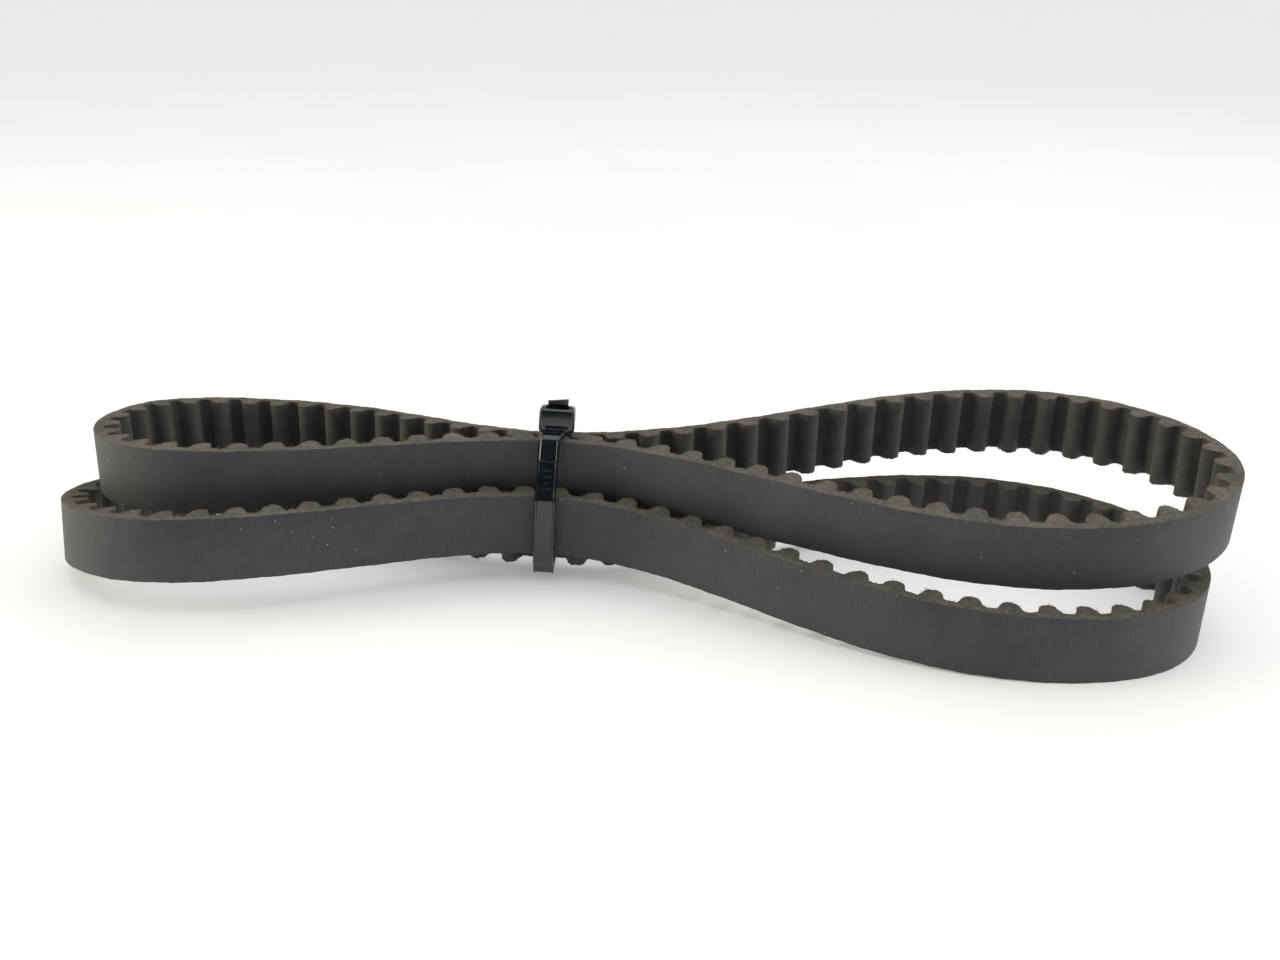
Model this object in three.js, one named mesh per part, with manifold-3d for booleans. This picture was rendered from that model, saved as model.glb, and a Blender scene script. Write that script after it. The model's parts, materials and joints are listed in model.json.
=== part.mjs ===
// A pair of identical toothed timing belts, stacked on their edges and pinched into a bow tie by a cable tie.
// Millimetres, +Z up. X runs along the pair, its front faces -Y, and it lies on the plane Z = 0.
import * as THREE from 'three';
import { LoftGeometry } from 'three/addons/geometries/LoftGeometry.js';
import { mergeVertices } from 'three/addons/utils/BufferGeometryUtils.js';
import Module from 'manifold-3d';

// Belt: rounded teeth at 8 mm pitch on an endless 608 mm loop. Depths run inwards from the pitch line.
const TEETH = 76;
const BELT_WIDTH = 15;
const BACK_RISE = 1.5; // pitch line out to the smooth back
const LAND_DEPTH = 0.7; // pitch line in to the land between two teeth
const TOOTH_HEIGHT = 3.4;
const TOOTH_HALF_BASE = 2.7;
const SHOULDER_HEIGHT = 2.3;
const SHOULDER_HALF_WIDTH = 2;
const CORD_THICKNESS = 0.6; // the wound cord layer, centred on the pitch line
const FACING_THICKNESS = 0.3; // nylon fabric moulded over the teeth
const BOND_GAP = 0.1; // kept between two bonded layers
const SHARP_TURN = THREE.MathUtils.degToRad(9); // a tooth space that turns more gets a station of its own
const LINE_SAMPLES = 1600;

// Each belt's pitch line is the smooth closed curve pulled towards these points, anticlockwise from its left
// end: x, y, height of the belt's lower edge, and outward lean of its upper edge.
const LOWER_BELT = {
  firstTooth: 6,
  line: [
    [-136, -8, 5, -1.5],
    [-107, -29, 8.5, -0.5],
    [-64, -15, 8, 0.5],
    [-21, 2, 7.5, 1],
    [15, -12, 4.5, 1],
    [48, -35, 1, 0.5],
    [81, -48, 0, 0],
    [117, -43, 0, 0],
    [131, -15, 0, 0],
    [120, 14, 0, 0],
    [89, 29, 1, -0.5],
    [46, 21, 2.5, -1],
    [-3, -3, 3, -1],
    [-57, 11, 2, -1.5],
    [-104, 39, 0.5, -1.5],
    [-133, 18, 0.5, -1.5],
  ],
};
const UPPER_BELT = {
  firstTooth: 1,
  line: [
    [-130, 5, 18, -0.5],
    [-109, -16, 20, -0.5],
    [-65, -7, 18.8, 0],
    [-14, 9, 18.6, 0.5],
    [32, -16, 17.5, 1.5],
    [75, -38, 16.5, 2.5],
    [113, -38, 18.5, 1.5],
    [135, -19, 21.5, 0],
    [132, 8, 23.5, -1],
    [109, 34, 23, -1],
    [67, 32, 22, -0.5],
    [20, 7, 19.7, 0.5],
    [-24, 5.9, 16.3, 1],
    [-65, 34, 14, 1],
    [-103, 46, 12, 0.5],
    [-126, 33, 16, 0],
  ],
};

// Cable tie: strap, head and locking tongue are one nylon moulding. Its outline is drawn in the plane of the
// strap's loop, Y to the back and Z up, and the whole tie then leans towards +X.
const TIE_CENTRE = new THREE.Vector3(-19.85, 0, 20);
const TIE_LEAN = 0.049;
const STRAP_WIDTH = 4.8;
const STRAP_THICKNESS = 1.05;
// The middle of the strap from its root in the head, round the four strands and up through the slot:
// y, z, bend radius.
const STRAP_LINE = [
  [4.1, 34.88, 0],
  [-0.35, 34.6, 1.7],
  [-6.75, 22.2, 2.5],
  [-6.1, 6.4, 3],
  [-2.85, 1.42, 1.6],
  [6.3, 1.42, 1.6],
  [13.2, 15.8, 8],
  [13.6, 32.95, 1.3],
  [7.42, 33.07, 1.2],
  [8.41, 41.18, 0],
];
// The head stands on the upper strands, tilts back with them, and sits a little to the right of the strap.
// Depths run back from its front face.
const HEAD = { x: 1.25, y: 3.3, z: 34, tilt: -0.122, width: 8.3, depth: 6.2, bottom: 0.35, top: 5.95 };
const HEAD_EDGE = { round: 1, bevel: 0.8 };
const SLOT = { front: 1.275, back: 5.05, width: 5.5 };
const TONGUE = { hinge: [2.025, 1.35], radius: 0.45, width: 4.6 };
const TONGUE_TEETH = [
  [2.475, 1.5],
  [2.925, 3.4],
  [3.375, 3.6],
  [3.075, 4.3],
  [3.375, 4.5],
  [2.925, 5.3],
  [2.425, 5.3],
];
// The strap skews sideways between its front bend and the head, and back again behind the head.
const SKEW = { above: 32, start: -1.5, front: 2.8, back: 8.6, end: 13.4 };

const wasm = await Module();
wasm.setup();

const rubber = (color) => new THREE.MeshStandardMaterial({ color, roughness: 0.75, metalness: 0 });
const nylon = (color) => new THREE.MeshStandardMaterial({ color, roughness: 0.25, metalness: 0 });

// Weights of the four points that shape a uniform cubic B-spline, at fraction f between the middle two.
function splineWeights(f) {
  const cubes = [(1 - f) ** 3, 3 * f ** 3 - 6 * f ** 2 + 4, -3 * f ** 3 + 3 * f ** 2 + 3 * f + 1, f ** 3];
  return cubes.map((weight) => weight / 6);
}

function linePoint(line, t) {
  const first = Math.floor(t);
  const weights = splineWeights(t - first);
  const pulls = weights.map((_, k) => line.at((first + k - 1) % line.length));
  return [0, 1, 2, 3].map((axis) => pulls.reduce((sum, point, k) => sum + weights[k] * point[axis], 0));
}

// The belt's cross-section at one sample: its lower edge on the pitch line, the way out of the loop and the
// way up.
function crossSection(line, t) {
  const step = 1e-3;
  const [x, y, height, lean] = linePoint(line, t);
  const [xAhead, yAhead] = linePoint(line, t + step);
  const along = new THREE.Vector2(xAhead - x, yAhead - y).normalize();
  const upright = Math.sqrt(BELT_WIDTH ** 2 - lean ** 2);
  const rise = new THREE.Vector3(along.y * lean, -along.x * lean, upright);
  const out = new THREE.Vector3(along.y * upright, -along.x * upright, -lean).divideScalar(BELT_WIDTH);
  return { foot: new THREE.Vector3(x, y, height), rise, out };
}

// Samples of the whole loop, each with its distance along the middle of the belt.
function measureLoop(line) {
  const samples = [];
  let length = 0;
  for (let i = 0; i <= LINE_SAMPLES; i += 1) {
    const section = crossSection(line, (i / LINE_SAMPLES) * line.length);
    section.middle = section.foot.clone().addScaledVector(section.rise, 0.5);
    if (i > 0) length += section.middle.distanceTo(samples[i - 1].middle);
    section.distance = length;
    samples.push(section);
  }
  return { samples, length };
}

function mixSections(a, b, f) {
  return {
    foot: a.foot.clone().lerp(b.foot, f),
    rise: a.rise.clone().lerp(b.rise, f),
    out: a.out.clone().lerp(b.out, f),
  };
}

function sectionBetween(list, distance) {
  const next = list.findIndex((section) => section.distance > distance);
  const after = list[next];
  const before = list[next - 1];
  return mixSections(before, after, (distance - before.distance) / (after.distance - before.distance));
}

// One station on every tooth crest, and one in the middle of a tooth space that turns sharply. Every layer of
// the belt runs straight between these stations, so that the layers stay parallel. The list goes once round
// and one station further.
function crestStations(loop, firstTooth) {
  const pitch = loop.length / TEETH;
  const at = (distance) => ({ ...sectionBetween(loop.samples, distance % loop.length), distance });
  const stations = [];
  for (let tooth = 0; tooth <= TEETH; tooth += 1) {
    const crest = at(firstTooth + tooth * pitch);
    const next = at(firstTooth + (tooth + 1) * pitch);
    stations.push(crest);
    if (crest.out.angleTo(next.out) > SHARP_TURN) stations.push(at(crest.distance + pitch / 2));
  }
  return stations;
}

// Half widths and heights of a tooth, from one foot over the crest to the other. The rubber core is the same
// outline less the facing.
function toothOutline(facing) {
  const base = TOOTH_HALF_BASE - facing;
  const shoulder = SHOULDER_HALF_WIDTH - facing;
  const shoulderHeight = SHOULDER_HEIGHT - facing / 2;
  return [[-base, 0], [-shoulder, shoulderHeight], [0, TOOTH_HEIGHT], [shoulder, shoulderHeight], [base, 0]];
}

// The toothed surface of the belt with the facing's thickness taken off: sections and their depths.
function toothedSurface(belt, facing) {
  const { stations, pitch, firstTooth } = belt;
  const surface = [];
  const add = (distance, depth) => {
    const wrapped = distance < stations[0].distance ? distance + TEETH * pitch : distance;
    surface.push({ section: sectionBetween(stations, wrapped), depth });
  };
  for (let tooth = 0; tooth < TEETH; tooth += 1) {
    const crest = firstTooth + tooth * pitch;
    for (const [offset, height] of toothOutline(facing)) {
      add(crest + offset, LAND_DEPTH + height - facing);
    }
    const midSpace = stations.find((station) => Math.abs(station.distance - crest - pitch / 2) < 1e-6);
    if (midSpace) add(midSpace.distance, LAND_DEPTH - facing);
  }
  return surface;
}

// A closed band of belt between an outer and an inner surface, each a list of sections with their depths.
function layer(name, material, outer, inner) {
  const corner = ({ section, depth }, up) =>
    section.foot.clone().addScaledVector(section.out, -depth).addScaledVector(section.rise, up);
  const ring = (edge, i) => [corner(edge, 0), corner(inner[i], 0), corner(inner[i], 1), corner(edge, 1)];
  const rings = outer.map(ring);
  const geometry = new THREE.BufferGeometry().copy(new LoftGeometry([...rings, rings[0]]));
  geometry.deleteAttribute('uv');
  geometry.deleteAttribute('normal');
  const mesh = new THREE.Mesh(mergeVertices(geometry, 1e-5), material);
  mesh.geometry.computeVertexNormals();
  mesh.name = name;
  return mesh;
}

// A belt is a bonded stack of layers: backing rubber, wound cord, tooth rubber and the teeth's fabric facing.
function timingBelt(name, { firstTooth, line }) {
  const loop = measureLoop(line);
  const stations = crestStations(loop, firstTooth);
  const belt = { stations, firstTooth, pitch: loop.length / TEETH };
  const onceRound = stations.filter((station) => station.distance < firstTooth + loop.length - 1e-6);
  const smooth = (depth) => onceRound.map((section) => ({ section, depth }));
  const core = toothedSurface(belt, FACING_THICKNESS);
  const face = toothedSurface(belt, 0);
  const deeper = (surface, by) => surface.map(({ section, depth }) => ({ section, depth: depth + by }));
  const level = (surface, depth) => surface.map(({ section }) => ({ section, depth }));
  const cordEdge = CORD_THICKNESS / 2;
  const group = new THREE.Group();
  group.add(
    layer(`${name}_backing_rubber`, rubber(0x3b3e40), smooth(-BACK_RISE), smooth(-cordEdge - BOND_GAP)),
    layer(`${name}_tensile_cord`, nylon(0xb9a98a), smooth(-cordEdge), smooth(cordEdge - BOND_GAP)),
    layer(`${name}_tooth_rubber`, rubber(0x47443f), level(core, cordEdge), core),
    layer(`${name}_tooth_facing`, rubber(0x2a2622), deeper(core, BOND_GAP), face),
  );
  return group;
}

// A strip of even thickness, as an outline, along a line that bends at the given corners.
function ribbonOutline(corners, thickness) {
  const points = corners.map(([y, z]) => new THREE.Vector2(y, z));
  const left = [];
  const right = [];
  const addAcross = (middle, direction) => {
    const side = new THREE.Vector2(-direction.y, direction.x).multiplyScalar(thickness / 2);
    left.push(middle.clone().add(side));
    right.push(middle.clone().sub(side));
  };
  const heading = (i) => points[i + 1].clone().sub(points[i]).normalize();
  addAcross(points[0], heading(0));
  for (let i = 1; i < points.length - 1; i += 1) {
    const before = heading(i - 1);
    const radius = corners[i][2];
    const turn = Math.atan2(before.cross(heading(i)), before.dot(heading(i)));
    const start = points[i].clone().addScaledVector(before, -radius * Math.abs(Math.tan(turn / 2)));
    const toCentre = new THREE.Vector2(-before.y, before.x).multiplyScalar(Math.sign(turn) * radius);
    const centre = start.clone().add(toCentre);
    const steps = Math.max(2, Math.ceil(Math.abs(turn) / 0.26));
    for (let k = 0; k <= steps; k += 1) {
      const angle = (turn * k) / steps;
      const spin = new THREE.Vector2();
      addAcross(start.clone().rotateAround(centre, angle), before.clone().rotateAround(spin, angle));
    }
  }
  addAcross(points.at(-1), heading(points.length - 2));
  return new THREE.Shape([...right, ...left.reverse()]);
}

// Extrudes an outline drawn in the Y-Z plane along X, centred on X = 0.
function extrudeAcross(shape, width) {
  const geometry = new THREE.ExtrudeGeometry(shape, { depth: width, bevelEnabled: false, curveSegments: 10 });
  geometry.translate(0, 0, -width / 2);
  return geometry.applyMatrix4(new THREE.Matrix4().makeBasis(
    new THREE.Vector3(0, 1, 0),
    new THREE.Vector3(0, 0, 1),
    new THREE.Vector3(1, 0, 0),
  ));
}

function toSolid(geometry) {
  const bare = geometry.clone();
  bare.deleteAttribute('normal');
  bare.deleteAttribute('uv');
  const welded = mergeVertices(bare, 1e-5);
  const vertProperties = new Float32Array(welded.attributes.position.array);
  const triVerts = new Uint32Array(welded.index.array);
  return new wasm.Manifold(new wasm.Mesh({ numProp: 3, vertProperties, triVerts }));
}

function toMesh(name, material, solid) {
  const { vertProperties, triVerts } = solid.getMesh();
  const geometry = new THREE.BufferGeometry();
  geometry.setAttribute('position', new THREE.BufferAttribute(new Float32Array(vertProperties), 3));
  geometry.setIndex(new THREE.BufferAttribute(new Uint32Array(triVerts), 1));
  geometry.computeVertexNormals();
  const mesh = new THREE.Mesh(geometry, material);
  mesh.name = name;
  return mesh;
}

// Shifts the strap across to the head's slot where it runs over the top of the strands.
function skewTowardsHead(geometry) {
  const corners = geometry.attributes.position;
  for (let i = 0; i < corners.count; i += 1) {
    const y = corners.getY(i);
    const rise = THREE.MathUtils.smoothstep(y, SKEW.start, SKEW.front);
    const fall = 1 - THREE.MathUtils.smoothstep(y, SKEW.back, SKEW.end);
    if (corners.getZ(i) > SKEW.above) corners.setX(i, corners.getX(i) + HEAD.x * rise * fall);
  }
  return geometry;
}

// Head coordinates: X across, Y back from the front face, Z up from the foot of that face.
function placeInHead(geometry) {
  return geometry.rotateX(HEAD.tilt).translate(HEAD.x, HEAD.y, HEAD.z);
}

function roundedRectangle(width, depth, radius) {
  const x = width / 2;
  const shape = new THREE.Shape();
  shape.absarc(x - radius, radius, radius, -Math.PI / 2, 0);
  shape.absarc(x - radius, depth - radius, radius, 0, Math.PI / 2);
  shape.absarc(radius - x, depth - radius, radius, Math.PI / 2, Math.PI);
  shape.absarc(radius - x, radius, radius, Math.PI, 1.5 * Math.PI);
  return shape;
}

function headBlock() {
  const { width, depth, bottom, top } = HEAD;
  const { round, bevel } = HEAD_EDGE;
  const block = new THREE.ExtrudeGeometry(roundedRectangle(width, depth, round), {
    depth: top - bottom - 2 * bevel,
    bevelSize: bevel,
    bevelThickness: bevel,
    bevelOffset: -bevel,
    bevelSegments: 3,
    curveSegments: 4,
  });
  return placeInHead(block.translate(0, 0, bottom + bevel));
}

function headSlot() {
  const depth = SLOT.back - SLOT.front;
  const height = 2 * HEAD.top;
  const slot = new THREE.BoxGeometry(SLOT.width, depth, height);
  return placeInHead(slot.translate(0, SLOT.front + depth / 2, height / 4));
}

function tongue() {
  const [y, z] = TONGUE.hinge;
  const outline = new THREE.Shape();
  outline.absarc(y, z, TONGUE.radius, Math.PI, 2 * Math.PI);
  TONGUE_TEETH.forEach(([toothY, toothZ]) => outline.lineTo(toothY, toothZ));
  return placeInHead(extrudeAcross(outline, TONGUE.width));
}

function cableTie() {
  const black = nylon(0x141415);
  const ribbon = extrudeAcross(ribbonOutline(STRAP_LINE, STRAP_THICKNESS), STRAP_WIDTH);
  const strap = toSolid(skewTowardsHead(ribbon));
  const head = toSolid(headBlock()).subtract(toSolid(headSlot()));
  const tie = new THREE.Group();
  tie.add(toMesh('tie_strap_and_head', black, strap.add(head)));
  tie.add(toMesh('tie_locking_tongue', black, toSolid(tongue())));
  tie.rotation.y = TIE_LEAN;
  tie.position.copy(TIE_CENTRE);
  tie.children.forEach((mesh) => mesh.geometry.translate(0, 0, -TIE_CENTRE.z));
  return tie;
}

const assembly = new THREE.Group();
assembly.add(timingBelt('lower_belt', LOWER_BELT), timingBelt('upper_belt', UPPER_BELT), cableTie());
assembly.position.set(0.4, 1.6, 0);

const timingBeltPair = new THREE.Group();
timingBeltPair.add(assembly);

export default timingBeltPair;
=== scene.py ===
import json
import math
import random

import bmesh
import bpy
import numpy as np
from mathutils import Matrix, Vector

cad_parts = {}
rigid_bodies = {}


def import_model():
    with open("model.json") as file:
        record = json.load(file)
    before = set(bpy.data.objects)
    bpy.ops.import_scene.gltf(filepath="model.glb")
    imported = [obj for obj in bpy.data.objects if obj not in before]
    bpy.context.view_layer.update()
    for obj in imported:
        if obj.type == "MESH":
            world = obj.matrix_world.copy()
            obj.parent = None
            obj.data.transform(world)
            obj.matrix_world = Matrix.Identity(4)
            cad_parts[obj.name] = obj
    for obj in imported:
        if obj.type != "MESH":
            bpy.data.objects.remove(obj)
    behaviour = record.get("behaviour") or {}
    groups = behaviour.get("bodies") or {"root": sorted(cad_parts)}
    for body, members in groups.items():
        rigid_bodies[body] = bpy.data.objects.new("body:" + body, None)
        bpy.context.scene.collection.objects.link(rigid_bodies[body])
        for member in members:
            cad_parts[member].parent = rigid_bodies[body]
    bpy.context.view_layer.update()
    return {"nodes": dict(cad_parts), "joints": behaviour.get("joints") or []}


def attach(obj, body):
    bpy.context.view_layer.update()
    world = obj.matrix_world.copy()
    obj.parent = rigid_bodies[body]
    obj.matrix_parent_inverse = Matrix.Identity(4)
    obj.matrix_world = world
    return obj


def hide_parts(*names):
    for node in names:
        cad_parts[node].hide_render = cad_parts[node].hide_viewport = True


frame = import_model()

MM = 0.001

# The camera looks down on the front of the belts from 13 cm above the table. It is held slightly turned, so
# the table tips by one degree. Its place, tilt, tip and lens were fitted to the photograph.
CAMERA_PLACE = (0.00225, -0.2610, 0.1317)
CAMERA_TILT = math.radians(22.24)
CAMERA_TIP = math.radians(1.036)
CAMERA_LENS = 34.19
camera = bpy.data.objects.new("camera", bpy.data.cameras.new("camera"))
bpy.context.scene.collection.objects.link(camera)
camera.location = CAMERA_PLACE
look_down = Matrix.Rotation(math.radians(90) - CAMERA_TILT, 3, "X")
tip = Matrix.Rotation(CAMERA_TIP, 3, "Z")
camera.rotation_euler = (look_down @ tip).to_euler()
camera.data.lens = CAMERA_LENS
camera.data.sensor_width = 36
camera.data.clip_start = 0.01
bpy.context.scene.camera = camera

# The table is a pale matt sheet in a white studio. Its surface has a faint painted glow, which lifts the
# shade round the belts, though it is no lamp. A wide soft light stands behind on the right, and a warm card
# stands low at each end.


def new_material(name):
    material = bpy.data.materials.new(name)
    material.use_nodes = True
    nodes = material.node_tree.nodes
    return material, nodes, material.node_tree.links, nodes["Principled BSDF"]


def add_node(nodes, kind, values=(), **settings):
    node = nodes.new(kind)
    for setting, value in settings.items():
        setattr(node, setting, value)
    for socket, value in values:
        node.inputs[socket].default_value = value
    return node


def add_ramp(nodes, links, source, stops):
    ramp = nodes.new("ShaderNodeValToRGB")
    while len(ramp.color_ramp.elements) < len(stops):
        ramp.color_ramp.elements.new(0.5)
    for element, (position, colour) in zip(ramp.color_ramp.elements, stops):
        element.position = position
        element.color = (*colour, 1)
    links.new(source, ramp.inputs["Fac"])
    return ramp


bpy.ops.object.select_all(action="DESELECT")
bpy.ops.mesh.primitive_plane_add(size=60, location=(0, 0, 0))
table = bpy.context.active_object
table.name = "table"
bpy.ops.object.transform_apply(location=True)
pale_sheet_with_painted_glow, nodes, links, shader = new_material("pale_sheet_with_painted_glow")
place = add_node(nodes, "ShaderNodeTexCoord")
grain = add_node(nodes, "ShaderNodeTexNoise", [("Scale", 6.0), ("Detail", 6.0), ("Roughness", 0.6)])
links.new(place.outputs["Object"], grain.inputs["Vector"])
paint = add_ramp(nodes, links, grain.outputs["Fac"],
                 [(0.3, (0.80, 0.805, 0.81)), (0.7, (0.84, 0.845, 0.85))])
links.new(paint.outputs["Color"], shader.inputs["Base Color"])
shader.inputs["Roughness"].default_value = 0.55
# Painted glow: the sheet's own emission brightens its shadows and the floor between the belts; it is no lamp.
shader.inputs["Emission Color"].default_value = (1.0, 1.0, 1.0, 1)
shader.inputs["Emission Strength"].default_value = 0.25
table.data.materials.append(pale_sheet_with_painted_glow)


def add_light(name, place, aim, size, power, colour):
    light = bpy.data.objects.new(name, bpy.data.lights.new(name, "AREA"))
    bpy.context.scene.collection.objects.link(light)
    light.data.shape = "DISK"
    light.data.size = size
    light.data.energy = power
    light.data.color = colour
    light.location = place
    light.rotation_euler = (Vector(aim) - Vector(place)).to_track_quat("-Z", "Y").to_euler()


add_light("window", (0.40, 0.75, 1.0), (0, 0, 0.02), 0.9, 1.5, (1.0, 0.98, 0.95))
add_light("left_card", (-0.9, -0.1, 0.24), (0, 0, 0.02), 0.5, 4.8, (1.0, 0.89, 0.66))
add_light("right_card", (0.9, -0.15, 0.24), (0, 0, 0.02), 0.5, 3.4, (1.0, 0.92, 0.74))

# The room is bright overhead, dimmer towards the walls, and dark where the viewer stands in front of the
# table.
world = bpy.data.worlds.new("studio")
world.use_nodes = True
bpy.context.scene.world = world
nodes, links = world.node_tree.nodes, world.node_tree.links
way = add_node(nodes, "ShaderNodeTexCoord")
split = add_node(nodes, "ShaderNodeSeparateXYZ")
links.new(way.outputs["Generated"], split.inputs["Vector"])
ceiling = add_ramp(nodes, links, split.outputs["Z"],
                   [(0.0, (0.14, 0.145, 0.15)), (0.55, (0.20, 0.208, 0.215)),
                    (0.92, (1.0, 1.0, 0.99)), (1.0, (1.0, 1.0, 0.99))])
viewer = add_node(nodes, "ShaderNodeVectorMath", [(1, (-0.08, -0.83, 0.55))], operation="DOT_PRODUCT")
links.new(way.outputs["Generated"], viewer.inputs[0])
figure = add_ramp(nodes, links, viewer.outputs["Value"], [(0.78, (1, 1, 1)), (0.94, (0.07, 0.07, 0.07))])
room = add_node(nodes, "ShaderNodeMix", [("Factor", 1.0)], data_type="RGBA", blend_type="MULTIPLY")
links.new(ceiling.outputs["Color"], room.inputs["A"])
links.new(figure.outputs["Color"], room.inputs["B"])
backdrop = add_node(nodes, "ShaderNodeMix", [("B", (0.60, 0.605, 0.61, 1))], data_type="RGBA")
seen = add_node(nodes, "ShaderNodeLightPath")
links.new(seen.outputs["Is Camera Ray"], backdrop.inputs["Factor"])
links.new(room.outputs["Result"], backdrop.inputs["A"])
links.new(backdrop.outputs["Result"], nodes["Background"].inputs["Color"])
nodes["Background"].inputs["Strength"].default_value = 1.5
bpy.context.scene.view_settings.view_transform = "Standard"

# Each belt is one endless loop, bonded from four layers. Its run through the air is read from its packed
# cord layer: the cord's four long edges, with a station at every tooth crest and in the tooth spaces that
# turn sharply.
PITCH = 8 * MM
TEETH = 76
WIDTH = 15 * MM
LAND = 0.7 * MM
PITCH_LINE = 0.6  # fraction of the cord layer's thickness, from its outer face
SHARP_EDGE = 0.8
MERGE = 0.02 * MM
TABLE_CLEARANCE = 0.02 * MM
WANDER = 0.05 * MM  # of each wave in a slit side


def cord_edges(node):
    """The four long edges of a cord layer: points in order round the loop, outer and inner, low and high."""
    mesh = bmesh.new()
    mesh.from_mesh(frame["nodes"][node].data)
    bmesh.ops.remove_doubles(mesh, verts=mesh.verts, dist=MERGE)
    sharp = {}
    for edge in mesh.edges:
        if len(edge.link_faces) == 2 and edge.calc_face_angle() > SHARP_EDGE:
            a, b = edge.verts
            sharp.setdefault(a.index, []).append(b.index)
            sharp.setdefault(b.index, []).append(a.index)
    mesh.verts.ensure_lookup_table()
    points = {index: np.array(mesh.verts[index].co) for index in sharp}
    mesh.free()
    loops = []
    left = set(points)
    while left:
        first = min(left)
        chain = [first]
        left.discard(first)
        while True:
            following = [index for index in sharp[chain[-1]] if index in left]
            if not following:
                break
            chain.append(following[0])
            left.discard(following[0])
        loops.append(np.array([points[index] for index in chain]))
    return loops


def loop_length(points):
    return np.linalg.norm(np.roll(points, -1, 0) - points, axis=1).sum()


def turned_like(points, guide):
    """The same loop, started next to the guide's first point and run the guide's way round."""
    start = np.linalg.norm(points - guide[0], axis=1).argmin()
    points = np.roll(points, -start, 0)
    if np.linalg.norm(points[1] - guide[1]) > np.linalg.norm(points[-1] - guide[1]):
        points = np.roll(points[::-1], 1, 0)
    return points


def read_run(node):
    """A belt's run: for each station its distance round the loop, its foot on the pitch line, and its top."""
    loops = sorted(cord_edges(node), key=lambda points: points[:, 2].mean())
    low = sorted(loops[:2], key=loop_length)
    high = sorted(loops[2:], key=loop_length)
    guide = low[1]
    x, y = guide[:, 0], guide[:, 1]
    if (x * np.roll(y, -1) - np.roll(x, -1) * y).sum() < 0:
        guide = guide[::-1]
    inner, outer, inner_top, outer_top = (turned_like(p, guide) for p in (low[0], guide, high[0], high[1]))
    foot = outer + (inner - outer) * PITCH_LINE
    top = outer_top + (inner_top - outer_top) * PITCH_LINE
    middle = (foot + top) / 2
    gap = np.linalg.norm(np.roll(middle, -1, 0) - middle, axis=1)
    step = np.where(gap > 0.75 * PITCH, PITCH, PITCH / 2)
    whole = [k for k in range(len(step)) if step[k] == PITCH and step[k - 1] == PITCH]
    foot, top, step = (np.roll(values, -whole[0], 0) for values in (foot, top, step))
    return np.concatenate([[0], np.cumsum(step)]), foot, top


def smooth_between(distance, points, at):
    """Points of a smooth closed curve through the stations, and its direction there."""
    length = distance[-1]
    count = len(points)
    at = np.mod(at, length)
    k = np.clip(np.searchsorted(distance, at, side="right") - 1, 0, count - 1)
    span = np.diff(distance)
    slope = (np.roll(points, -1, 0) - points) / span[:, None]
    before = np.roll(slope, 1, 0)
    span_before = np.roll(span, 1)
    tangent = (before * span[:, None] + slope * span_before[:, None]) / (span + span_before)[:, None]
    f = ((at - distance[k]) / span[k])[:, None]
    p0, p1 = points[k], points[(k + 1) % count]
    m0, m1 = tangent[k] * span[k][:, None], tangent[(k + 1) % count] * span[k][:, None]
    value = (2 * f**3 - 3 * f**2 + 1) * p0 + (f**3 - 2 * f**2 + f) * m0
    value = value + (3 * f**2 - 2 * f**3) * p1 + (f**3 - f**2) * m1
    rate = (6 * f**2 - 6 * f) * (p0 - p1) + (3 * f**2 - 4 * f + 1) * m0 + (3 * f**2 - 2 * f) * m1
    return value, rate / np.linalg.norm(rate, axis=1)[:, None]


def lay_on_run(piece, run):
    """Lays a straight piece on the belt's run: x goes round the loop, y into it and z up its width."""
    mesh = piece.data
    flat = np.zeros(len(mesh.vertices) * 3)
    mesh.vertices.foreach_get("co", flat)
    flat = flat.reshape(-1, 3)
    distance, foot, top = run
    low, along = smooth_between(distance, foot, flat[:, 0])
    high, _ = smooth_between(distance, top, flat[:, 0])
    rise = (high - low) / WIDTH
    out = np.cross(along, rise)
    out = out / np.linalg.norm(out, axis=1)[:, None]
    laid = low + rise * flat[:, 2:3] - out * flat[:, 1:2]
    laid[:, 2] = np.maximum(laid[:, 2], TABLE_CLEARANCE)
    mesh.vertices.foreach_set("co", laid.ravel())
    mesh.update()


runs = {belt: read_run(belt + "_tensile_cord") for belt in ("lower_belt", "upper_belt")}
BODY = frame["joints"][0]["parent"]


def edit(select_mode, chosen):
    """Goes into edit mode on the active object with only the chosen elements selected."""
    bpy.ops.object.mode_set(mode="EDIT")
    bpy.ops.mesh.select_mode(type=select_mode)
    bpy.ops.mesh.select_all(action="DESELECT")
    bpy.ops.object.mode_set(mode="OBJECT")
    mesh = bpy.context.active_object.data
    elements = {"VERT": mesh.vertices, "EDGE": mesh.edges, "FACE": mesh.polygons}[select_mode]
    for element in elements:
        element.select = chosen(element)
    bpy.ops.object.mode_set(mode="EDIT")


def edge_is(axis, test):
    """True for edges along one axis whose middle passes the test."""
    def chosen(edge):
        vertices = bpy.context.active_object.data.vertices
        a, b = (vertices[index].co for index in edge.vertices)
        run = b - a
        return abs(run[axis]) > 0.99 * run.length and test((a + b) / 2)
    return chosen


def add_block(low, high):
    """A block between two corners, in millimetres along the belt, into it and up its width."""
    bpy.ops.object.select_all(action="DESELECT")
    low, high = Vector(low) * MM, Vector(high) * MM
    bpy.ops.mesh.primitive_cube_add(size=1, calc_uvs=False, location=(low + high) / 2, scale=high - low)
    bpy.ops.object.transform_apply(location=True, scale=True)
    return bpy.context.active_object


def open_ends():
    """Takes off the two faces across the belt, so that repeats join up."""
    edit("FACE", lambda face: abs(face.normal.x) > 0.99)
    bpy.ops.mesh.delete(type="FACE")
    bpy.ops.object.mode_set(mode="OBJECT")


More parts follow.
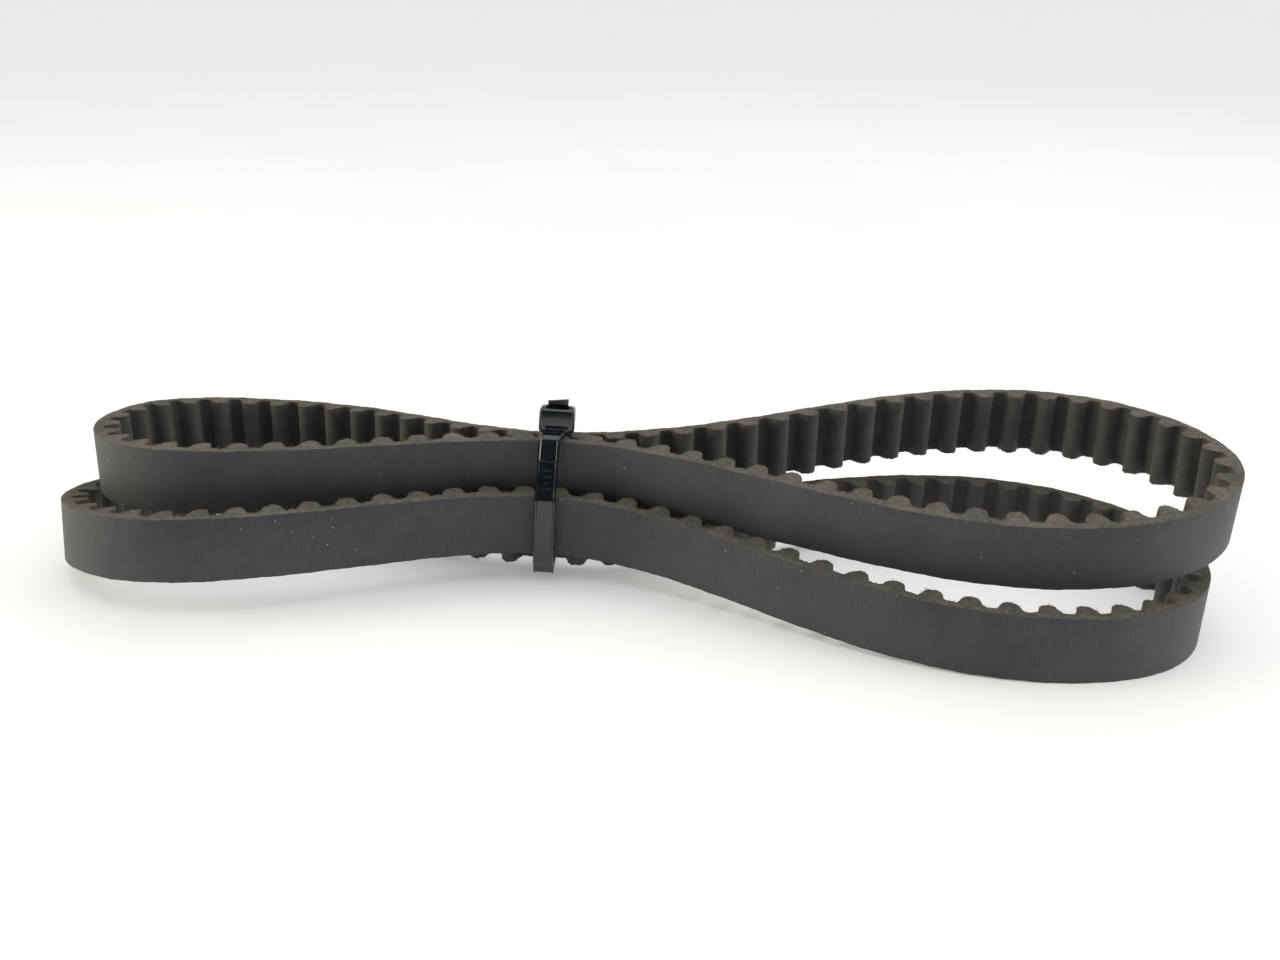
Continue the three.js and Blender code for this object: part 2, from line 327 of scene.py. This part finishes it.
def mark_cloth_map(piece):
    """A map in metres: round the belt, and across its width."""
    mesh = piece.data
    layer = mesh.uv_layers.new(name="belt")
    for loop in mesh.loops:
        x, _, z = mesh.vertices[loop.vertex_index].co
        layer.data[loop.index].uv = (x, z)


def close_into_belt(piece, name, belt, pitch_of_cloth=0.0, ragged=0.0):
    """Repeats one pitch for every tooth, lays the strip on the belt's run and joins its ends."""
    piece.name = name
    bpy.context.view_layer.objects.active = piece
    piece.select_set(True)
    repeat = piece.modifiers.new("teeth", "ARRAY")
    repeat.count = TEETH
    repeat.use_relative_offset = False
    repeat.use_constant_offset = True
    repeat.constant_offset_displace = (PITCH, 0, 0)
    repeat.use_merge_vertices = True
    repeat.merge_threshold = 0.002 * MM
    repeat.offset_u = pitch_of_cloth
    bpy.ops.object.modifier_apply(modifier="teeth")
    if not piece.data.uv_layers:
        mark_cloth_map(piece)
    roughen_edges(piece, ragged)
    lay_on_run(piece, runs[belt])
    bpy.ops.object.mode_set(mode="EDIT")
    bpy.ops.mesh.select_all(action="SELECT")
    bpy.ops.mesh.remove_doubles(threshold=MERGE)
    bpy.ops.mesh.normals_make_consistent(inside=False)
    bpy.ops.object.mode_set(mode="OBJECT")
    bpy.ops.object.shade_smooth_by_angle(angle=math.radians(35))
    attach(piece, BODY)


def roughen_edges(piece, ragged):
    """Lets the slit sides wander by about a tenth of a millimetre, and frays them by up to ragged."""
    mesh = piece.data
    flat = np.zeros(len(mesh.vertices) * 3)
    mesh.vertices.foreach_get("co", flat)
    flat = flat.reshape(-1, 3)
    turn = flat[:, 0] / (TEETH * PITCH) * 2 * math.pi
    wander = WANDER * (np.sin(turn * 31) + np.sin(turn * 83 + 1) + 0.7 * np.sin(turn * 211 + 2))
    across = flat[:, 2] / WIDTH * 2 - 1
    tatters = np.random.default_rng(len(flat)).uniform(-ragged, ragged, len(flat))
    flat[:, 2] += (wander + tatters) * across**9
    mesh.vertices.foreach_set("co", flat.ravel())


# The back of the belt is black neoprene rubber, ground to thickness after moulding. The grinding leaves
# fine lines across the belt. Talc and grit lie on it. Where it bends round the ends it looks greyer, which is
# left to the warm cards there, not to its colour.
BACK_RISE = 1.5
BACK_CORNER = 0.16
CUTS_PER_PITCH = 9  # a smooth layer is cut across this often, to follow the run's bends


def ground_rubber():
    material, nodes, links, shader = new_material("ground_back")
    place = add_node(nodes, "ShaderNodeTexCoord")
    belt_map = add_node(nodes, "ShaderNodeUVMap", uv_map="belt")
    stretch = add_node(nodes, "ShaderNodeMapping", [("Scale", (5200.0, 260.0, 1.0))])
    links.new(belt_map.outputs["UV"], stretch.inputs["Vector"])
    grind = add_node(nodes, "ShaderNodeTexNoise", [("Scale", 1.0), ("Detail", 4.0), ("Roughness", 0.6)])
    links.new(stretch.outputs["Vector"], grind.inputs["Vector"])
    mottle = add_node(nodes, "ShaderNodeTexNoise", [("Scale", 55.0), ("Detail", 5.0), ("Roughness", 0.62)])
    links.new(place.outputs["Object"], mottle.inputs["Vector"])
    dirt = add_ramp(nodes, links, mottle.outputs["Fac"],
                    [(0.32, (0.038, 0.0445, 0.052)), (0.70, (0.064, 0.070, 0.076))])
    lines = add_ramp(nodes, links, grind.outputs["Fac"],
                     [(0.25, (0.72, 0.72, 0.72)), (0.8, (1.35, 1.33, 1.30))])
    tint = add_node(nodes, "ShaderNodeMix", [("Factor", 1.0)], data_type="RGBA", blend_type="MULTIPLY")
    links.new(dirt.outputs["Color"], tint.inputs["A"])
    links.new(lines.outputs["Color"], tint.inputs["B"])
    speck_map = add_node(nodes, "ShaderNodeTexVoronoi", [("Scale", 700.0), ("Randomness", 1.0)])
    links.new(place.outputs["Object"], speck_map.inputs["Vector"])
    rare = add_node(nodes, "ShaderNodeMath", [(1, 0.94)], operation="GREATER_THAN")
    pick = add_node(nodes, "ShaderNodeSeparateColor")
    links.new(speck_map.outputs["Color"], pick.inputs["Color"])
    links.new(pick.outputs["Red"], rare.inputs[0])
    near = add_ramp(nodes, links, speck_map.outputs["Distance"], [(0.07, (1, 1, 1)), (0.13, (0, 0, 0))])
    speck = add_node(nodes, "ShaderNodeMath", operation="MULTIPLY")
    links.new(near.outputs["Color"], speck.inputs[0])
    links.new(rare.outputs["Value"], speck.inputs[1])
    dusty = add_node(nodes, "ShaderNodeMix", [("B", (0.42, 0.42, 0.40, 1))], data_type="RGBA")
    links.new(speck.outputs["Value"], dusty.inputs["Factor"])
    links.new(tint.outputs["Result"], dusty.inputs["A"])
    links.new(dusty.outputs["Result"], shader.inputs["Base Color"])
    sheen = add_ramp(nodes, links, mottle.outputs["Fac"],
                     [(0.3, (0.60, 0.60, 0.60)), (0.7, (0.74, 0.74, 0.74))])
    links.new(sheen.outputs["Color"], shader.inputs["Roughness"])
    height = add_node(nodes, "ShaderNodeMath", [(1, 1.6)], operation="MULTIPLY_ADD")
    links.new(speck.outputs["Value"], height.inputs[0])
    links.new(grind.outputs["Fac"], height.inputs[2])
    bump = add_node(nodes, "ShaderNodeBump", [("Strength", 0.5), ("Distance", 0.00006)])
    links.new(height.outputs["Value"], bump.inputs["Height"])
    links.new(bump.outputs["Normal"], shader.inputs["Normal"])
    shader.inputs["Specular IOR Level"].default_value = 0.36
    shader.inputs["Sheen Weight"].default_value = 0.08
    shader.inputs["Sheen Roughness"].default_value = 0.5
    return material


def cut_rubber_material():
    material, nodes, links, shader = new_material("cut_rubber")
    place = add_node(nodes, "ShaderNodeTexCoord")
    crumb = add_node(nodes, "ShaderNodeTexNoise", [("Scale", 900.0), ("Detail", 6.0), ("Roughness", 0.7)])
    links.new(place.outputs["Object"], crumb.inputs["Vector"])
    stain = add_node(nodes, "ShaderNodeTexNoise", [("Scale", 90.0), ("Detail", 4.0), ("Roughness", 0.6)])
    links.new(place.outputs["Object"], stain.inputs["Vector"])
    dust = add_ramp(nodes, links, stain.outputs["Fac"],
                    [(0.3, (0.090, 0.089, 0.083)), (0.72, (0.160, 0.147, 0.122))])
    crumbs = add_ramp(nodes, links, crumb.outputs["Fac"], [(0.3, (0.55, 0.54, 0.53)), (0.7, (1.3, 1.3, 1.3))])
    tint = add_node(nodes, "ShaderNodeMix", [("Factor", 1.0)], data_type="RGBA", blend_type="MULTIPLY")
    links.new(dust.outputs["Color"], tint.inputs["A"])
    links.new(crumbs.outputs["Color"], tint.inputs["B"])
    links.new(tint.outputs["Result"], shader.inputs["Base Color"])
    bump = add_node(nodes, "ShaderNodeBump", [("Strength", 0.7), ("Distance", 0.00015)])
    links.new(crumb.outputs["Fac"], bump.inputs["Height"])
    links.new(bump.outputs["Normal"], shader.inputs["Normal"])
    shader.inputs["Roughness"].default_value = 0.9
    shader.inputs["Specular IOR Level"].default_value = 0.3
    return material


back_finish = ground_rubber()
cut_finish = cut_rubber_material()


def show_cut_edges(piece):
    """Gives the two slit sides of a layer the finish of cut rubber."""
    piece.data.materials.append(cut_finish)
    for face in piece.data.polygons:
        face.material_index = len(piece.data.materials) - 1 if abs(face.normal.z) > 0.6 else 0


def model_back(belt):
    piece = add_block((0, -BACK_RISE, 0), (PITCH / MM, 0, WIDTH / MM))
    open_ends()
    edit("EDGE", edge_is(0, lambda middle: middle.y < -BACK_RISE * MM / 2))
    bpy.ops.mesh.bevel(offset=BACK_CORNER * MM, segments=2)
    bpy.ops.object.mode_set(mode="OBJECT")
    edit("EDGE", edge_is(0, lambda middle: True))
    bpy.ops.mesh.subdivide(number_cuts=CUTS_PER_PITCH)
    bpy.ops.object.mode_set(mode="OBJECT")
    piece.data.materials.append(back_finish)
    show_cut_edges(piece)
    close_into_belt(piece, belt + "_back", belt)
    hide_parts(belt + "_backing_rubber")


for belt in runs:
    model_back(belt)

# The tension member is a twisted cord, wound round and round under the back. One closed band stands in for
# its turns. The rubber is slit between two of them, so the slit sides of the band have the finish of cut
# rubber.
CORD_HALF = 0.3
CORD_INSET = 0.01  # between the cord and the rubber above and below it


def cord_finish_material():
    material, nodes, links, shader = new_material("wound_cord")
    belt_map = add_node(nodes, "ShaderNodeUVMap", uv_map="belt")
    turn = add_node(nodes, "ShaderNodeMapping", [("Rotation", (0, 0, 0.7))])
    links.new(belt_map.outputs["UV"], turn.inputs["Vector"])
    twist = add_node(nodes, "ShaderNodeTexWave", [("Scale", 700.0), ("Distortion", 2.0), ("Detail", 2.0)])
    links.new(turn.outputs["Vector"], twist.inputs["Vector"])
    thread = add_ramp(nodes, links, twist.outputs["Fac"],
                      [(0.2, (0.030, 0.026, 0.022)), (0.9, (0.10, 0.085, 0.065))])
    links.new(thread.outputs["Color"], shader.inputs["Base Color"])
    bump = add_node(nodes, "ShaderNodeBump", [("Strength", 0.6), ("Distance", 0.0001)])
    links.new(twist.outputs["Fac"], bump.inputs["Height"])
    links.new(bump.outputs["Normal"], shader.inputs["Normal"])
    shader.inputs["Roughness"].default_value = 0.85
    return material


cord_finish = cord_finish_material()


def model_cord(belt):
    low = (0, CORD_INSET, 2 * CORD_INSET)
    high = (PITCH / MM, 2 * CORD_HALF - CORD_INSET, WIDTH / MM - 2 * CORD_INSET)
    piece = add_block(low, high)
    open_ends()
    edit("EDGE", edge_is(0, lambda middle: True))
    bpy.ops.mesh.subdivide(number_cuts=CUTS_PER_PITCH)
    bpy.ops.object.mode_set(mode="OBJECT")
    piece.data.materials.append(cord_finish)
    show_cut_edges(piece)
    close_into_belt(piece, belt + "_cord", belt)
    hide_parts(belt + "_tensile_cord")


for belt in runs:
    model_cord(belt)

# The teeth are moulded in one with the rubber under the cord. Each is a round-tipped tooth 3.4 mm high with
# filleted roots. A nylon fabric, stretched over the mould before the rubber was pressed in, covers them.
TIP_RADIUS = 2.1
TIP_HEIGHT = 3.4
FLANK_SLOPE = math.radians(18)
ROOT_RADIUS = 0.9
FACING = 0.3
FRAY = 0.13
TOOTH_STEPS = 34  # round one tooth and its land
FACING_ROWS = 4
CLOTH_PITCH = 11.76 * MM  # length of fabric over one tooth and its land


def tooth_depth_and_place(fraction):
    """A point of the toothed surface over one pitch, in millimetres from its start and above the land."""
    lean, across = math.sin(FLANK_SLOPE), math.cos(FLANK_SLOPE)
    tip_centre = TIP_HEIGHT - TIP_RADIUS
    flank_top = tip_centre + TIP_RADIUS * lean
    flank_foot = ROOT_RADIUS * (1 - lean)
    flank = (flank_top - flank_foot) / across
    half_top = TIP_RADIUS * across
    half_foot = half_top + flank * lean
    middle = PITCH / MM / 2
    land = middle - half_foot - ROOT_RADIUS * across
    bend = math.pi / 2 - FLANK_SLOPE
    half = land + ROOT_RADIUS * bend + flank + TIP_RADIUS * bend
    mirrored = fraction > 0.5
    run = half * 2 * (1 - fraction if mirrored else fraction)
    if run < land:
        place, height = run, 0.0
    elif run < land + ROOT_RADIUS * bend:
        angle = (run - land) / ROOT_RADIUS
        place, height = land + ROOT_RADIUS * math.sin(angle), ROOT_RADIUS * (1 - math.cos(angle))
    elif run < land + ROOT_RADIUS * bend + flank:
        up = run - land - ROOT_RADIUS * bend
        place, height = middle - half_foot + up * lean, flank_foot + up * across
    else:
        angle = FLANK_SLOPE + (run - land - ROOT_RADIUS * bend - flank) / TIP_RADIUS
        place, height = middle - TIP_RADIUS * math.cos(angle), tip_centre + TIP_RADIUS * math.sin(angle)
    return (2 * middle - place if mirrored else place), height


def add_tooth_sheet(steps, rows):
    """A sheet as wide as the belt, pressed to the shape of one tooth."""
    bpy.ops.object.select_all(action="DESELECT")
    bpy.ops.mesh.primitive_grid_add(x_subdivisions=steps, y_subdivisions=rows, size=1)
    sheet = bpy.context.active_object
    for vertex in sheet.data.vertices:
        place, height = tooth_depth_and_place(round((vertex.co.x + 0.5) * steps) / steps)
        vertex.co = (place * MM, LAND + height * MM, (vertex.co.y + 0.5) * WIDTH)
    cloth = sheet.data.uv_layers[0]
    cloth.name = "belt"
    for corner in cloth.data:
        corner.uv = (corner.uv.x * CLOTH_PITCH, corner.uv.y * WIDTH)
    return sheet


def weave_nodes(nodes, links, scale, slant):
    """Diagonal ribs of a twill, and the finer threads across them."""
    belt_map = add_node(nodes, "ShaderNodeUVMap", uv_map="belt")
    ribs_map = add_node(nodes, "ShaderNodeMapping", [("Rotation", (0, 0, slant))])
    threads_map = add_node(nodes, "ShaderNodeMapping", [("Rotation", (0, 0, slant + 1.2))])
    ribs = add_node(nodes, "ShaderNodeTexWave", [("Scale", scale), ("Distortion", 0.6), ("Detail", 2.0)])
    threads = add_node(nodes, "ShaderNodeTexWave",
                       [("Scale", scale * 1.5), ("Distortion", 0.8), ("Detail", 2.0)])
    for mapping, wave in ((ribs_map, ribs), (threads_map, threads)):
        links.new(belt_map.outputs["UV"], mapping.inputs["Vector"])
        links.new(mapping.outputs["Vector"], wave.inputs["Vector"])
    both = add_node(nodes, "ShaderNodeMath", [(1, 0.3)], operation="MULTIPLY_ADD")
    links.new(threads.outputs["Fac"], both.inputs[0])
    links.new(ribs.outputs["Fac"], both.inputs[2])
    return both


def facing_material():
    material, nodes, links, shader = new_material("tooth_fabric")
    weave = weave_nodes(nodes, links, 661.0, -0.436)
    place = add_node(nodes, "ShaderNodeTexCoord")
    wear = add_node(nodes, "ShaderNodeTexNoise", [("Scale", 260.0), ("Detail", 5.0), ("Roughness", 0.7)])
    links.new(place.outputs["Object"], wear.inputs["Vector"])
    base = add_ramp(nodes, links, wear.outputs["Fac"],
                    [(0.35, (0.050, 0.049, 0.049)), (0.72, (0.083, 0.079, 0.075))])
    lift = add_ramp(nodes, links, weave.outputs["Value"],
                    [(0.25, (0.72, 0.72, 0.72)), (1.0, (1.42, 1.38, 1.32))])
    tint = add_node(nodes, "ShaderNodeMix", [("Factor", 1.0)], data_type="RGBA", blend_type="MULTIPLY")
    links.new(base.outputs["Color"], tint.inputs["A"])
    links.new(lift.outputs["Color"], tint.inputs["B"])
    links.new(tint.outputs["Result"], shader.inputs["Base Color"])
    bump = add_node(nodes, "ShaderNodeBump", [("Strength", 0.8), ("Distance", 0.00012)])
    links.new(weave.outputs["Value"], bump.inputs["Height"])
    links.new(bump.outputs["Normal"], shader.inputs["Normal"])
    shader.inputs["Roughness"].default_value = 0.62
    shader.inputs["Specular IOR Level"].default_value = 0.45
    shader.inputs["Sheen Weight"].default_value = 0.1
    return material


fabric_finish = facing_material()

# Where the fabric is slit it frays, and shows the rusty brown of its dipped threads.
frayed_thread, nodes, links, shader = new_material("frayed_thread")
place = add_node(nodes, "ShaderNodeTexCoord")
fade = add_node(nodes, "ShaderNodeTexNoise", [("Scale", 300.0), ("Detail", 2.0)])
links.new(place.outputs["Object"], fade.inputs["Vector"])
rust = add_ramp(nodes, links, fade.outputs["Fac"],
                [(0.35, (0.085, 0.058, 0.036)), (0.7, (0.27, 0.175, 0.095))])
links.new(rust.outputs["Color"], shader.inputs["Base Color"])
shader.inputs["Roughness"].default_value = 0.9


def model_tooth_rubber(belt):
    piece = add_tooth_sheet(TOOTH_STEPS, 1)
    for vertex in piece.data.vertices:
        vertex.co.y -= FACING * MM
    edit("FACE", lambda face: True)
    bpy.ops.mesh.extrude_region_move(TRANSFORM_OT_translate={"value": (0, -LAND, 0)})
    floor = 2 * CORD_HALF * MM
    bpy.ops.transform.resize(value=(1, 0, 1), center_override=(0, floor, 0))
    bpy.ops.object.mode_set(mode="OBJECT")
    open_ends()
    piece.data.materials.append(cut_finish)
    close_into_belt(piece, belt + "_teeth", belt, CLOTH_PITCH)
    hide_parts(belt + "_tooth_rubber")


def model_facing(belt):
    piece = add_tooth_sheet(TOOTH_STEPS, FACING_ROWS)
    edit("FACE", lambda face: True)
    bpy.ops.mesh.extrude_region_move(TRANSFORM_OT_translate={"value": (0, -FACING * MM, 0)})
    bpy.ops.object.mode_set(mode="OBJECT")
    open_ends()
    piece.data.materials.append(fabric_finish)
    piece.data.materials.append(frayed_thread)
    for face in piece.data.polygons:
        face.material_index = 1 if abs(face.normal.z) > 0.6 else 0
    close_into_belt(piece, belt + "_fabric", belt, CLOTH_PITCH, FRAY * MM)
    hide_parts(belt + "_tooth_facing")


for belt in runs:
    model_tooth_rubber(belt)
    model_facing(belt)

# Loose ends of the fabric's threads stand along the outline of the teeth. Lengths are in millimetres.
THREADS = 2600
LONG_THREADS = 0.1  # share of them
THREAD_CORNERS = (0, 2.094, 4.189)


def model_threads(belt, seed):
    draw = random.Random(seed)
    points, faces = [], []
    for _ in range(THREADS):
        tooth = draw.randrange(TEETH)
        place, height = tooth_depth_and_place(draw.random())
        root = Vector((tooth * PITCH / MM + place, LAND / MM + height - draw.uniform(0.05, 0.25), 0))
        length = draw.uniform(0.12, 0.5) if draw.random() < 1 - LONG_THREADS else draw.uniform(0.5, 0.9)
        tip = root + Vector((draw.uniform(-0.35, 0.35), draw.uniform(-0.1, 0.3), length))
        thick = draw.uniform(0.03, 0.07)
        first = len(points)
        for end, width in ((root - Vector((0, 0, 0.2)), thick), (tip, thick * 0.4)):
            for turn in THREAD_CORNERS:
                points.append(end + Vector((math.cos(turn), math.sin(turn), 0)) * width)
        if draw.random() < 0.5:
            for point in points[first:]:
                point.z = -point.z
            order = ((0, 3, 4, 1), (1, 4, 5, 2), (2, 5, 3, 0), (0, 1, 2), (5, 4, 3))
        else:
            for point in points[first:]:
                point.z += WIDTH / MM
            order = ((0, 1, 4, 3), (1, 2, 5, 4), (2, 0, 3, 5), (2, 1, 0), (3, 4, 5))
        faces += [[first + corner for corner in face] for face in order]
    mesh = bpy.data.meshes.new(belt + "_threads")
    mesh.from_pydata([point * MM for point in points], [], faces)
    piece = bpy.data.objects.new(belt + "_threads", mesh)
    bpy.context.scene.collection.objects.link(piece)
    mesh.materials.append(frayed_thread)
    lay_on_run(piece, runs[belt])
    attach(piece, BODY)


for seed, belt in enumerate(runs):
    model_threads(belt, seed)

# The cable tie is one moulding of glossy black nylon. The strap leaves the head forwards, bends down the
# front, goes round all four strands and comes up through the slot, where the tongue holds it. Its end is
# cut off above, a little askew. Sizes are in millimetres. The section's points are across the strap and out
# from its middle, with a raised rim along each side of its outer face. The line's points are back, up, and
# the radius of the bend there.
STRAP_PROFILE = [(2.4, 0.34), (2.28, 0.525), (1.98, 0.525), (1.78, 0.34), (-1.78, 0.34), (-1.98, 0.525),
                 (-2.28, 0.525), (-2.4, 0.34), (-2.4, -0.38), (-2.25, -0.525), (2.25, -0.525), (2.4, -0.38)]
STRAP_LINE = [(4.1, 34.88, 0), (-0.35, 34.6, 1.7), (-3.35, 29.7, 3),
              (-6.9, 21.4, 2.5), (-6.1, 6.4, 3), (-2.85, 1.42, 1.6),
              (6.3, 1.42, 1.6), (13.2, 15.8, 8), (13.6, 32.95, 1.3), (7.42, 33.07, 1.2), (8.41, 41.18, 0)]
HEAD_SHIFT = 1.25  # the head sits a little to the right of the strap, which skews across to it
SKEW_FLOOR = 32  # the strap skews above this height, between these depths in front and behind
SKEW_FRONT = (-1.5, 2.8)
SKEW_BACK = (8.6, 13.4)
END_TRIM = 0.3
END_SLANT = 0.12
HEAD_LOW, HEAD_HIGH = (-4.15, 0, 0.35), (4.15, 6.2, 5.95)
SLOT_LOW, SLOT_HIGH = (-2.75, 1.275, -1), (2.75, 5.05, 8)
ROOT_LOW, ROOT_HIGH = (-2.7, -0.35, 0.5), (2.7, 0.9, 2.1)  # where the strap grows from the head's front
BAR_FRONT, BAR_BACK = -0.6, -0.2  # a bar's depth, from the middle of the strap
# Plain bars stand where the strap's front has moulded marks: height, half width. Its front leans back.
FRONT_BARS = [(29.75, 1.9), (27.9, 0.9), (26.6, 1.1), (25.3, 0.7), (24.0, 1.1)]
FRONT_TOP = (-3.31, 29.7)
FRONT_SLOPE = 0.428
FRONT_TURN = -0.42
# Three of the strap's own ridges show on its cut end.
END_RIDGES = (39.95, 40.3, 40.65)
END_FOOT = (7.42, 33.07)
END_SLOPE = 0.122
END_TURN = -0.1215
TIE_PIVOT = 20  # height that the lean turns about
TIE_LEAN = (Matrix.Translation(Vector((-19.45, 1.6, TIE_PIVOT)) * MM) @ Matrix.Rotation(0.049, 4, "Y")
            @ Matrix.Translation((0, 0, -TIE_PIVOT * MM)))
HEAD_TILT = (TIE_LEAN @ Matrix.Translation(Vector((HEAD_SHIFT, 3.3, 34)) * MM)
             @ Matrix.Rotation(-0.122, 4, "X"))

tie_finish, nodes, links, shader = new_material("moulded_nylon")
place = add_node(nodes, "ShaderNodeTexCoord")
smear = add_node(nodes, "ShaderNodeTexNoise", [("Scale", 420.0), ("Detail", 4.0), ("Roughness", 0.6)])
links.new(place.outputs["Object"], smear.inputs["Vector"])
gloss = add_ramp(nodes, links, smear.outputs["Fac"], [(0.3, (0.10, 0.10, 0.10)), (0.7, (0.22, 0.22, 0.22))])
links.new(gloss.outputs["Color"], shader.inputs["Roughness"])
colour = add_ramp(nodes, links, smear.outputs["Fac"],
                  [(0.3, (0.004, 0.008, 0.012)), (0.7, (0.008, 0.013, 0.018))])
links.new(colour.outputs["Color"], shader.inputs["Base Color"])
shader.inputs["Specular IOR Level"].default_value = 0.75
ripple = add_node(nodes, "ShaderNodeBump", [("Strength", 0.25), ("Distance", 0.00005)])
links.new(smear.outputs["Fac"], ripple.inputs["Height"])
links.new(ripple.outputs["Normal"], shader.inputs["Normal"])


def sweep_strap():
    """Draws the strap's section at its root, extrudes it along each straight and spins it round each bend."""
    bpy.ops.object.select_all(action="DESELECT")
    bpy.ops.mesh.primitive_circle_add(vertices=len(STRAP_PROFILE), fill_type="NGON")
    strap = bpy.context.active_object
    line = [Vector((0, y, z)) * MM for y, z, _ in STRAP_LINE]
    heading = [(b - a).normalized() for a, b in zip(line, line[1:])]
    outward = Vector((0, heading[0].z, -heading[0].y))
    for vertex, (across, out) in zip(strap.data.vertices, STRAP_PROFILE):
        vertex.co = line[0] + Vector((across * MM, 0, 0)) + outward * out * MM
    bpy.ops.object.mode_set(mode="EDIT")
    bpy.ops.mesh.select_all(action="SELECT")
    here = line[0]
    for corner, before, after, (_, _, radius) in zip(line[1:-1], heading, heading[1:], STRAP_LINE[1:-1]):
        turn = math.atan2(before.y * after.z - before.z * after.y, before.dot(after))
        start = corner - before * radius * MM * abs(math.tan(turn / 2))
        side = Vector((0, -before.z, before.y)) * math.copysign(radius * MM, turn)
        bpy.ops.mesh.extrude_region_move(TRANSFORM_OT_translate={"value": start - here})
        steps = max(3, round(abs(turn) / 0.12))
        bpy.ops.mesh.spin(steps=steps, angle=-turn, center=start + side, axis=(1, 0, 0))
        here = start + side + Matrix.Rotation(turn, 3, "X") @ -side
    bpy.ops.mesh.extrude_region_move(TRANSFORM_OT_translate={"value": line[-1] - here})
    bpy.ops.mesh.select_all(action="SELECT")
    bpy.ops.mesh.remove_doubles(threshold=0.005 * MM)
    bpy.ops.mesh.normals_make_consistent(inside=False)
    bpy.ops.object.mode_set(mode="OBJECT")
    return strap


def soften(piece, width, segments):
    bevel = piece.modifiers.new("soften", "BEVEL")
    bevel.width = width * MM
    bevel.segments = segments
    bpy.ops.object.modifier_apply(modifier="soften")


def model_head():
    """A bevelled block with a slot right through it."""
    head = add_block(HEAD_LOW, HEAD_HIGH)
    soften(head, 0.8, 4)
    cutter = add_block(SLOT_LOW, SLOT_HIGH)
    bpy.ops.object.select_all(action="DESELECT")
    bpy.context.view_layer.objects.active = head
    slot = head.modifiers.new("slot", "BOOLEAN")
    slot.object = cutter
    slot.solver = "EXACT"
    bpy.ops.object.modifier_apply(modifier="slot")
    bpy.data.objects.remove(cutter)
    return head


def ease(low, high, value):
    """0 below low and 1 above high, in millimetres, with a smooth step between."""
    f = min(max((value / MM - low) / (high - low), 0), 1)
    return f * f * (3 - 2 * f)


def add_bar(half_width, half_height, place, turn):
    """A low rounded bar across the strap, standing on its face at a place in the plane of the loop."""
    bar = add_block((-half_width, BAR_FRONT, -half_height), (half_width, BAR_BACK, half_height))
    soften(bar, 0.45 * half_height, 2)
    bar.data.transform(Matrix.Translation(Vector(place) * MM) @ Matrix.Rotation(turn, 4, "X"))
    bar.data.transform(TIE_LEAN)
    return bar


strap = sweep_strap()
end = max(vertex.co.z for vertex in strap.data.vertices)
for vertex in strap.data.vertices:
    place = vertex.co
    if place.z > end - END_TRIM * MM:
        place.z += place.x * END_SLANT - END_TRIM * MM
    if place.z > SKEW_FLOOR * MM:
        place.x += HEAD_SHIFT * MM * ease(*SKEW_FRONT, place.y) * (1 - ease(*SKEW_BACK, place.y))
strap.data.transform(TIE_LEAN)

bars = []
for height, half_width in FRONT_BARS:
    depth = FRONT_TOP[0] - FRONT_SLOPE * (FRONT_TOP[1] - height)
    bars.append(add_bar(half_width, 0.24, (0, depth, height), FRONT_TURN))
for height in END_RIDGES:
    depth = END_FOOT[0] + END_SLOPE * (height - END_FOOT[1])
    bars.append(add_bar(1.9, 0.1, (HEAD_SHIFT, depth, height), END_TURN))
root = add_block(ROOT_LOW, ROOT_HIGH)
soften(root, 0.3, 2)
head = model_head()
root.data.transform(HEAD_TILT)
head.data.transform(HEAD_TILT)
bpy.ops.object.select_all(action="DESELECT")
for part in (head, root, strap, *bars):
    part.select_set(True)
bpy.context.view_layer.objects.active = strap
bpy.ops.object.join()
strap.name = "tie_moulding"
strap.data.materials.clear()
strap.data.materials.append(tie_finish)
bpy.ops.object.shade_smooth_by_angle(angle=math.radians(32))
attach(strap, BODY)
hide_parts("tie_strap_and_head")
tongue = frame["nodes"]["tie_locking_tongue"].data
tongue.materials.clear()
tongue.materials.append(tie_finish)
